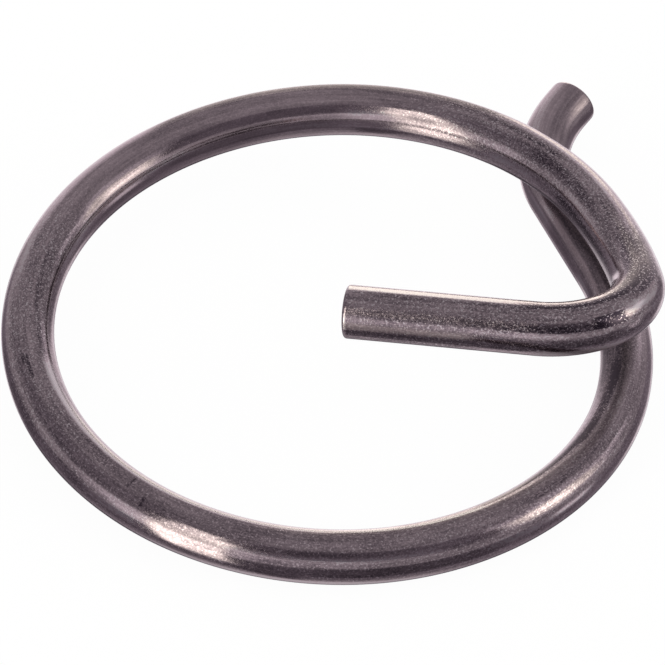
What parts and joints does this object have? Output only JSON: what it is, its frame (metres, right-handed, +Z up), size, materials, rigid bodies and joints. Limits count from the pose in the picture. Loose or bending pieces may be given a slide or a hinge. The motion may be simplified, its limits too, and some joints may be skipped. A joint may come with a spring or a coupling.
{
  "type": "split ring",
  "caption": "Open wire ring with a straight leg bent inward across it and a short tail turned outward under the overlap.",
  "frame": {"origin": "on the surface the ring rests on, under the centre of its bounding box", "axes": "+Z up from the surface it rests on; +Y towards the outer tail; +X towards the raised shoulder, with the inner leg pointing back towards -X"},
  "size_m": [0.0492, 0.0551, 0.0135],
  "materials": {
    "steel_wire": "satin drawn wire, dark grey with a faint mauve tint and fine speckled grain"
  },
  "bodies": {
    "root": {"split_ring": "steel_wire"}
  },
  "joints": []
}
